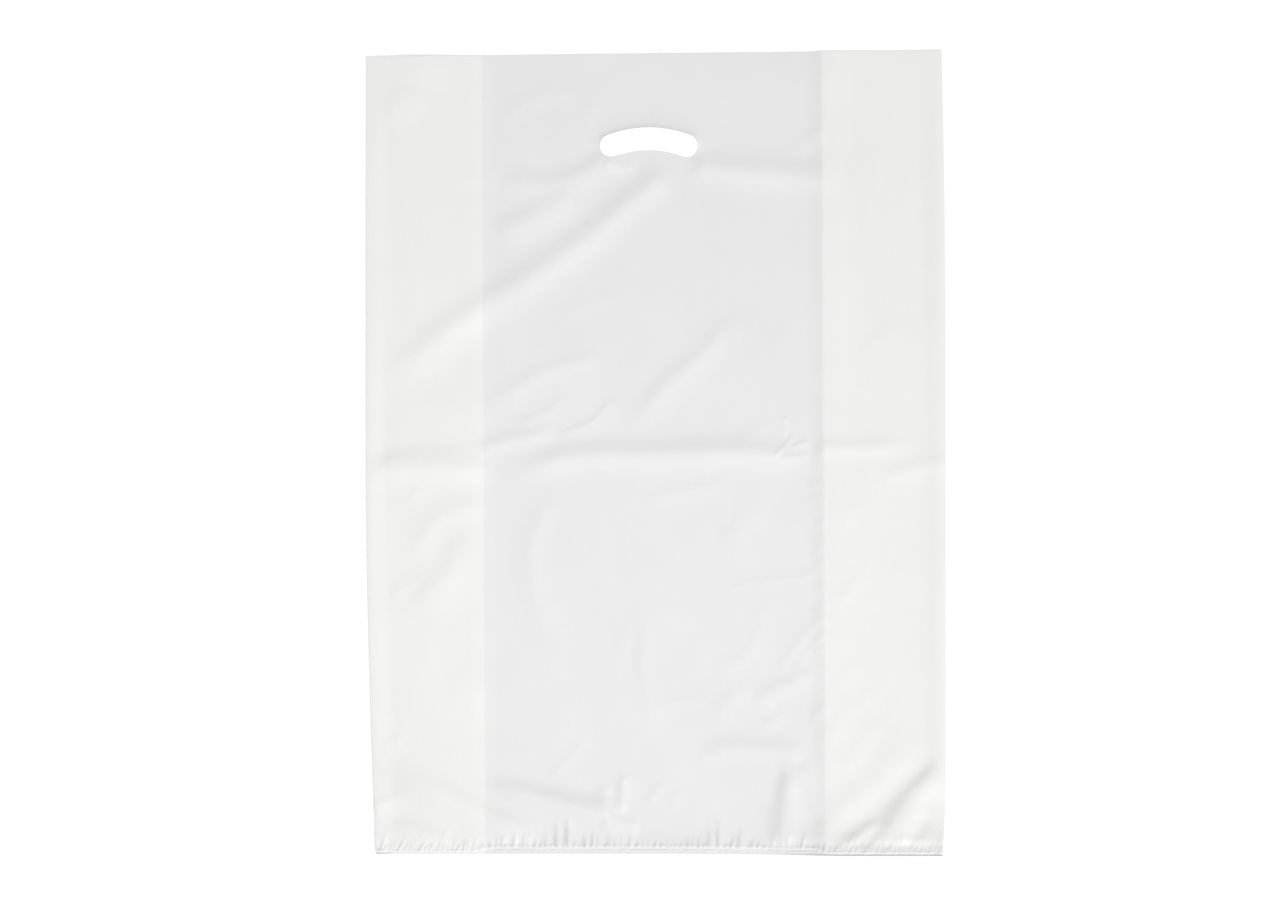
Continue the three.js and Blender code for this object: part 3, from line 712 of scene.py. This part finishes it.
flat = points_of(film)
flat_x, flat_y = flat[:, 0], flat[:, 1]
x, y = plan(flat_x, flat_y)
shape = bmesh.new()
shape.from_mesh(film.data)
at_border = np.array([vertex.is_boundary for vertex in shape.verts])
shape.free()
at_rim = at_border & (from_grip(flat_x, flat_y) < RIM_REACH)
arc_x, arc_y = grip_arc(x[at_rim], y[at_rim])
away = np.hypot(x[at_rim] - arc_x, y[at_rim] - arc_y)
x[at_rim] = arc_x + (x[at_rim] - arc_x) / away * GRIP_HEIGHT / 2
y[at_rim] = arc_y + (y[at_rim] - arc_y) / away * GRIP_HEIGHT / 2
print(f"grip punched, {at_rim.sum()} points on its two rims, {len(film.data.polygons)} faces left")

# %% [markdown]
# Height of the front face
#
# Four films lie on each other at the tucks and two in the middle, with some air between them. The pressed
# folds at the sides and at the right-hand tuck don't lie quite flat, so each leaves a low bead. The mouth
# gapes a little, and its left-hand corner is lifted. Soft noise stands for the small unevenness of blown
# film. A soft stop limits how far hollows and noise push the front down towards the films under it.

# %% Stack of films
TWO_FILMS = 0.32
FOUR_FILMS = 0.92
LEFT_STEP = (9, 19)
RIGHT_STEP = (11, 13)


def film_stack(x, y):
    """The height of the films under the front face: two in the middle, four over a tuck."""
    into_left = tuck_line(-1, y) - x + LEFT_STEP[0]
    into_right = x - tuck_line(1, y) + RIGHT_STEP[0]
    four_films = np.maximum(smooth(into_left / LEFT_STEP[1]), smooth(into_right / RIGHT_STEP[1]))
    return TWO_FILMS + (FOUR_FILMS - TWO_FILMS) * four_films


print(f"two films lie {TWO_FILMS} mm high, four {FOUR_FILMS} mm")

# %% Helpers for beads and noise


def bead(distance, crest, rising, falling):
    """A low ridge that rises over one run up to its crest and falls over another beyond it."""
    return np.where(distance < crest, smooth((distance - crest + rising) / rising),
                    1 - smooth((distance - crest) / falling))


def soft_noise(x, y, size):
    """Even noise, from about -1 to 1, with lumps of about this size."""
    return np.array([noise.noise(Vector((a, b, size))) for a, b in zip(x / size, y / size)])


print(f"on its crest a bead has all of its height: {bead(np.zeros(1), 0, 1, 1)[0]:.0f}")

# %% Beads, mouth and noise
LEFT_BEAD = 0.75
LEFT_BEAD_FORM = (1.5, 8, 15)
RIGHT_BEAD = 1.15
RIGHT_BEAD_FORM = (3.8, 12, 15)
TUCK_BEAD = 0.56
TUCK_BEAD_FORM = (2, 13, 24)
BEAD_AT_MOUTH = 0.4
BEAD_GROWTH = 120
MOUTH_GAPE = 0.6
GAPE_LENGTH = 60
CORNER_LIFT = 1.4
CORNER_LIFT_X = -178
CORNER_LIFT_SIZE = 24
WAVE_SIZE = 90
WAVE_RISE = 0.4
RIPPLE_SIZE = 24
RIPPLE_RISE = 0.12
DIMPLE_SIZE = 9
DIMPLE_RISE = 0.038


def resting_height(x, y):
    """The front face's height before any fold."""
    from_left = x - left_side(y)
    from_right = right_side(y) - x
    from_mouth = mouth_line(x) - y
    tuck_bead = TUCK_BEAD * bead(x - tuck_line(1, y), *TUCK_BEAD_FORM)
    edge_beads = LEFT_BEAD * bead(from_left, *LEFT_BEAD_FORM)
    edge_beads += RIGHT_BEAD * bead(from_right, *RIGHT_BEAD_FORM)
    edge_beads *= (BEAD_AT_MOUTH + (1 - BEAD_AT_MOUTH) * smooth(from_mouth / BEAD_GROWTH))
    gape = MOUTH_GAPE * smooth(1 - from_mouth / GAPE_LENGTH) * (1 - (x / HALF_WIDTH) ** 2)
    lifted = ((x - CORNER_LIFT_X) ** 2 + from_mouth**2) / CORNER_LIFT_SIZE**2
    waves = WAVE_RISE * soft_noise(x, y, WAVE_SIZE) + RIPPLE_RISE * soft_noise(x, y, RIPPLE_SIZE)
    waves += DIMPLE_RISE * soft_noise(x, y, DIMPLE_SIZE)
    inside = smooth(np.minimum(from_left, from_right) / EDGE_BAND)
    corner_lift = CORNER_LIFT * np.exp(-lifted)
    return film_stack(x, y) + tuck_bead + edge_beads + gape + corner_lift + waves * inside


is_front = np.abs(flat_x) <= HALF_WIDTH + HAIR
front_x = x[is_front]
front_y = y[is_front]
height = resting_height(front_x, front_y)
print(f"{is_front.sum()} points on the front face, {height.min():.2f} to {height.max():.2f} mm high")

# %% Folds on the front face
LEAST_SHARE = 0.62
SOFT_STOP = 0.12

for fold in folds:
    height += fold_height(fold, front_x, front_y)
least = LEAST_SHARE * film_stack(front_x, front_y)
height = (height + least + np.hypot(height - least, SOFT_STOP)) / 2
print(f"{len(folds)} folds make it {height.min():.2f} to {height.max():.2f} mm high")

# %% [markdown]
# The lip of the grip
#
# The upper rim of the grip, where a hand pulls, stands up in a short, tight curl with a low lip behind
# it. The lower rim carries nothing and stays flat. Both forms depend on how far a point lies from the
# rim, so they are added to the height that the front face has by now.

# %% Lip above the grip
RIM_CURL = 0.85
RIM_RUN = 1.5
LIP_RISE = 0.45
LIP_RUN = 6

arc_x, arc_y = grip_arc(front_x, front_y)
from_rim = np.maximum(np.hypot(front_x - arc_x, front_y - arc_y) - GRIP_HEIGHT / 2, 0)
upper_rim = smooth((front_y - arc_y) / GRIP_HEIGHT + 0.5)
lip = RIM_CURL * np.exp(-from_rim / RIM_RUN) + LIP_RISE * np.exp(-((from_rim / LIP_RUN) ** 2))
height += upper_rim * lip
print(f"the upper rim of the grip curls up by {RIM_CURL + LIP_RISE:.2f} mm")

# %% [markdown]
# Weld and gathers
#
# A hot bar welds the films together just above the cut. Hot film shrinks, so the cooler film above the
# weld is puckered into upright gathers, each steep on its left: many small ones at random from a fixed
# seed, and a few broad ones listed one by one. Between the tucks the weld is a thin raised line, and the
# short skirt below it has a second, broken one. By its shading in the picture, the weld stands a little
# off the floor, most at the right-hand corner, so all the films are lifted there. The front comes down to
# the weld and the back comes up to it.

# %% Gathers above the weld
GATHER_SEED = 7
GATHER_PITCH = (2.2, 5.2)
STRIP_PITCH = (2.2, 4.2)
GATHER_RISE = (0.4, 1.6)
STRIP_RISE = (0.4, 0.95)
GATHER_TALL = (4, 18)
GATHER_FLANKS = (1, 1.9)
GATHER_BLUNTNESS = 1.5
GATHER_LEAN = (-0.1, 0.3)
STRIP_LEAN = 0.3
BROAD_GATHERS = ((-81, 1.2, 15), (-73, 1.7, 23), (-65, 2, 28), (-43, 1, 12), (-34, 1.1, 13),
                 (41, 1.3, 21), (47, 1.7, 25), (63, 1.5, 18))
BROAD_FLANKS = (2.7, 3)
WELD_LINE = -295.2
draws = np.random.default_rng(GATHER_SEED)


def gather(off, above, rise, tall, flanks):
    """One gather: steep on its left, lower and lower up the film."""
    flank = np.where(off < 0, flanks[0], flanks[1])
    return rise * np.exp(-np.abs(off / flank) ** GATHER_BLUNTNESS) * (1 - smooth(above / tall))


def gathers_height(x, above):
    """The small upright gathers that stand on the weld; above is the height up the film from the weld."""
    lift = np.zeros(x.shape)
    foot = -HALF_WIDTH + LEFT_DRAW + draws.uniform(*GATHER_PITCH)
    while foot < HALF_WIDTH - RIGHT_FOOT_DRAW:
        in_strip = abs(foot) > TUCK_LINE
        rise = draws.uniform(*(STRIP_RISE if in_strip else GATHER_RISE))
        tall = GATHER_TALL[0] + (GATHER_TALL[1] - GATHER_TALL[0]) * draws.random() ** 2
        lean = draws.uniform(*GATHER_LEAN) + STRIP_LEAN * in_strip
        lift = np.maximum(lift, gather(x - foot - lean * above, above, rise, tall, GATHER_FLANKS))
        foot += draws.uniform(*(STRIP_PITCH if in_strip else GATHER_PITCH))
    for foot, rise, tall in BROAD_GATHERS:
        lift = np.maximum(lift, gather(x - foot, above, rise, tall, BROAD_FLANKS))
    return lift


front_flat_y = flat_y[is_front]
above_weld = front_flat_y - WELD_LINE
gathers = gathers_height(front_x, above_weld)
print(f"gathers up to {gathers.max():.2f} mm")

# %% Weld line and skirt
WELD_CREST = 0.24
WELD_DIP = 0.1
WELD_FLANK = 0.7
SKIRT_CREST = 0.37
SKIRT_LINE = -297.8
SKIRT_FLANK = 0.5
DASH_SIZE = 2.6
DASH_LEVEL = 0.6
DASH_CONTRAST = 2.5
CUT_CURL = 1.2
CUT_CURL_RUN = 1.4
CUT_CURL_POWER = 1.5
CORNER_START = 75
CORNER_RUN = 70
LEFT_CURL = 18
LEAST_CURL = 0.1


def toward_corner(x):
    """Runs from 0 in the middle of the weld to 1 at its right-hand corner."""
    return smooth((x - CORNER_START) / CORNER_RUN)


def rib(distance, flank):
    """A thin rib with a rounded top."""
    return np.exp(-0.5 * (distance / flank) ** 2)


four_share = (film_stack(front_x, front_y) - TWO_FILMS) / (FOUR_FILMS - TWO_FILMS)
dashes = np.clip(DASH_LEVEL + DASH_CONTRAST * soft_noise(front_x, 0 * front_x, DASH_SIZE), 0, 1)
weld_crest = (WELD_CREST - WELD_DIP * dashes) * rib(above_weld, WELD_FLANK) * (1 - four_share)
skirt_crest = SKIRT_CREST * dashes * rib(front_flat_y - SKIRT_LINE, SKIRT_FLANK)
curled = np.maximum(toward_corner(front_x), LEAST_CURL)
curled = np.maximum(curled, 1 - smooth((front_x - left_side(front_y)) / LEFT_CURL))
near_cut = np.clip(1 - (front_flat_y + HALF_LENGTH) / CUT_CURL_RUN, 0, 1)
cut_curl = CUT_CURL * curled * near_cut**CUT_CURL_POWER
print(f"weld line up to {weld_crest.max():.2f} mm, skirt line up to {skirt_crest.max():.2f} mm")

# %% Front face down to the weld
PINCH_RUN = 7
CORNER_PINCH = 0.1
PRESSED_SHARE = 0.85
BED_STATIONS = (-300, -295.2, -292, -288, -282, -274, -262)
BED_RISES = (2, 1.58, 1.2, 0.77, 0.36, 0.1, 0)
CORNER_BED = 2.1
GATHER_FOOT_RUN = 2
GATHER_OVERLAP = 1
STRIP_OVERLAP = 3


def weld_bed(x, flat_y):
    """How far the weld and the skirt hold all the films off the floor: most at the right-hand corner."""
    return np.interp(flat_y, BED_STATIONS, BED_RISES) * (1 + CORNER_BED * toward_corner(x))


pinched = smooth(above_weld / (PINCH_RUN * (1 + CORNER_PINCH * toward_corner(front_x))))
pressed = PRESSED_SHARE * film_stack(front_x, front_y)
past_foot = above_weld + GATHER_OVERLAP + STRIP_OVERLAP * four_share
height = pressed + (height - pressed) * pinched + gathers * smooth(past_foot / GATHER_FOOT_RUN)
height += weld_bed(front_x, front_flat_y) + weld_crest + skirt_crest + cut_curl
print(f"front face now {height.min():.2f} to {height.max():.2f} mm high")

# %% [markdown]
# Every film at its height
#
# The front is done. From its edges the two leaves of each tuck step down through the stack to the back,
# with a short slope at every fold, and the back lies on the floor. At the weld all the films close up to
# the front.

# %% Put every film at its height
WELDED_GAP = 0.08
EDGE_TURN = 15
TUCK_TURN = 13
BACK_TURN = 14
LEAF_OUT = (0, EDGE_TURN, TUCK_DEPTH - TUCK_TURN, TUCK_DEPTH, TUCK_DEPTH + TUCK_TURN,
            2 * TUCK_DEPTH - EDGE_TURN, 2 * TUCK_DEPTH, 2 * TUCK_DEPTH + BACK_TURN)
LEAF_SHARES = (1, 0.66, 0.66, 0.5, 0.34, 0.34, 0.15, 0)

out = np.abs(flat_x) - HALF_WIDTH
share = np.interp(out, LEAF_OUT, LEAF_SHARES)
over_back = np.where(film_stack(x, y) > (TWO_FILMS + FOUR_FILMS) / 2, 3, 1)
films_above = np.select((out <= TUCK_DEPTH, out <= 2 * TUCK_DEPTH), (1, 2), over_back)
welded = PRESSED_SHARE * film_stack(x, y) + weld_bed(x, flat_y) - WELDED_GAP * films_above
opened = smooth((flat_y - WELD_LINE) / PINCH_RUN)
z = welded + (FOUR_FILMS * share - welded) * opened
z[is_front] = height
move_points(film, x, y, z)
print(f"the folded film is {z.max():.2f} mm high")

# %% [markdown]
# One closed film
#
# The two edges of the slit meet again in the middle of the back and are merged. Solidify then gives the
# film its gauge, inwards, so that the outside keeps its size. Smooth shading by angle keeps the soft folds
# soft and the cut edges crisp.

# %% Merge the slit and give the film its gauge
FILM_GAUGE = 0.06
SMOOTH_ANGLE = math.radians(40)
bpy.ops.object.select_all(action="DESELECT")
film.select_set(True)
bpy.context.view_layer.objects.active = film
bpy.ops.object.mode_set(mode="EDIT")
bpy.ops.mesh.select_all(action="SELECT")
bpy.ops.mesh.remove_doubles(threshold=HAIR * MM)
bpy.ops.object.mode_set(mode="OBJECT")
bpy.ops.object.modifier_add(type="SOLIDIFY")
film.modifiers[-1].thickness = FILM_GAUGE * MM
film.modifiers[-1].offset = -1
bpy.ops.object.modifier_apply(modifier=film.modifiers[-1].name)
bpy.ops.object.shade_smooth_by_angle(angle=SMOOTH_ANGLE)
film.data.calc_loop_triangles()
print(f"closed film: {len(film.data.loop_triangles)} triangles")

# %% [markdown]
# The film's finish
#
# Thin white film lets some light through, so two films look a little greyer than the four at the tucks,
# with a sharp line between. Blown film is faintly cloudy and has fine lines along its length. Its surface
# is satin, with a grain too fine to model.

# %% Material of the film, with nodes for plain numbers
white_film = bpy.data.materials.new("white_film")
white_film.use_nodes = True
nodes = white_film.node_tree.nodes
links = white_film.node_tree.links
shader = nodes["Principled BSDF"]
place = nodes.new("ShaderNodeTexCoord")
axes = nodes.new("ShaderNodeSeparateXYZ")
links.new(place.outputs["Object"], axes.inputs[0])


def math_node(operation, first, second, third=None):
    """A Math node; each input is a socket or a plain number."""
    made = nodes.new("ShaderNodeMath")
    made.operation = operation
    for socket, value in zip(made.inputs, (first, second, third)):
        if isinstance(value, bpy.types.NodeSocket):
            links.new(value, socket)
        elif value is not None:
            socket.default_value = value
    return made.outputs[0]


def ramp(value, low, high, bottom, top):
    """A Map Range node from low..high to bottom..top."""
    made = nodes.new("ShaderNodeMapRange")
    links.new(value, made.inputs["Value"])
    for name, number in (("From Min", low), ("From Max", high), ("To Min", bottom), ("To Max", top)):
        made.inputs[name].default_value = number
    return made.outputs["Result"]


print("the film's material starts with", shader.name)

# %% Nodes for noise and for mixing colours
MIX_FACTOR = 0
MIX_COLOURS = (6, 7)
MIX_RESULT = 2


def noise_at(scales, size, detail):
    """Noise on Object coordinates, stretched by scales, with lumps of about size millimetres."""
    mapping = nodes.new("ShaderNodeMapping")
    mapping.inputs["Scale"].default_value = scales
    links.new(place.outputs["Object"], mapping.inputs["Vector"])
    made = nodes.new("ShaderNodeTexNoise")
    made.inputs["Scale"].default_value = 1 / (size * MM)
    made.inputs["Detail"].default_value = detail
    links.new(mapping.outputs["Vector"], made.inputs["Vector"])
    return made.outputs["Fac"]


def mixed(blend, factor, first, second):
    """A colour Mix node; factor is a socket or a number, first and second are sockets or colours."""
    made = nodes.new("ShaderNodeMix")
    made.data_type = "RGBA"
    made.blend_type = blend
    for index, value in zip((MIX_FACTOR, *MIX_COLOURS), (factor, first, second)):
        if isinstance(value, bpy.types.NodeSocket):
            links.new(value, made.inputs[index])
        else:
            made.inputs[index].default_value = value
    return made.outputs[MIX_RESULT]


print(f"a colour Mix node takes its colours at inputs {MIX_COLOURS}")

# %% Colour of the film
TWO_FILM_COLOUR = (0.848, 0.845, 0.845, 1)
FOUR_FILM_COLOUR = (0.900, 0.894, 0.889, 1)
TUCK_SHARPNESS = 1.1 * MM
EVEN = (1, 1, 1)
LENGTHWISE = (1, 0.02, 1)
NOISE_SPAN = (0.3, 0.7)
SOFT_DETAIL = 3
CLOUD_SIZE = 60
CLOUD = (0.988, 1.01)
LINE_SIZE = 3
LINE_DETAIL = 2
DIE_LINES = (0.997, 1.002)
WHOLE = 1

left_line = math_node("MULTIPLY_ADD", axes.outputs["Y"], TUCK_LEAN, LEFT_TUCK * MM)
right_line = math_node("MULTIPLY_ADD", axes.outputs["Y"], TUCK_LEAN, RIGHT_TUCK * MM)
past_left = math_node("SUBTRACT", left_line, axes.outputs["X"])
past_right = math_node("SUBTRACT", axes.outputs["X"], right_line)
in_left = ramp(past_left, -TUCK_SHARPNESS, TUCK_SHARPNESS, 0, 1)
in_right = ramp(past_right, -TUCK_SHARPNESS, TUCK_SHARPNESS, 0, 1)
four_films = math_node("MAXIMUM", in_left, in_right)
film_colour = mixed("MIX", four_films, TWO_FILM_COLOUR, FOUR_FILM_COLOUR)
cloud = ramp(noise_at(EVEN, CLOUD_SIZE, SOFT_DETAIL), *NOISE_SPAN, *CLOUD)
lines = ramp(noise_at(LENGTHWISE, LINE_SIZE, LINE_DETAIL), *NOISE_SPAN, *DIE_LINES)
film_colour = mixed("MULTIPLY", WHOLE, film_colour, math_node("MULTIPLY", cloud, lines))
links.new(film_colour, shader.inputs["Base Color"])
print(f"two films are {TWO_FILM_COLOUR[0]} white, four {FOUR_FILM_COLOUR[0]}")

# %% Sheen and grain of the film
SHEEN_SIZE = 25
ROUGHNESS = (0.38, 0.48)
GRAIN_SIZE = 4
GRAIN_STRENGTH = 0.6
GRAIN_DEPTH = 0.1 * MM

roughness = ramp(noise_at(EVEN, SHEEN_SIZE, SOFT_DETAIL), *NOISE_SPAN, *ROUGHNESS)
links.new(roughness, shader.inputs["Roughness"])
grain = nodes.new("ShaderNodeBump")
grain.inputs["Strength"].default_value = GRAIN_STRENGTH
grain.inputs["Distance"].default_value = GRAIN_DEPTH
links.new(noise_at(EVEN, GRAIN_SIZE, SOFT_DETAIL), grain.inputs["Height"])
links.new(grain.outputs["Normal"], shader.inputs["Normal"])
film.data.materials.clear()
film.data.materials.append(white_film)
print(f"white film: {len(nodes)} nodes")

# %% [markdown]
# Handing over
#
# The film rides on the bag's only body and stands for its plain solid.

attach(film, "root")
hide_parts(NODE)
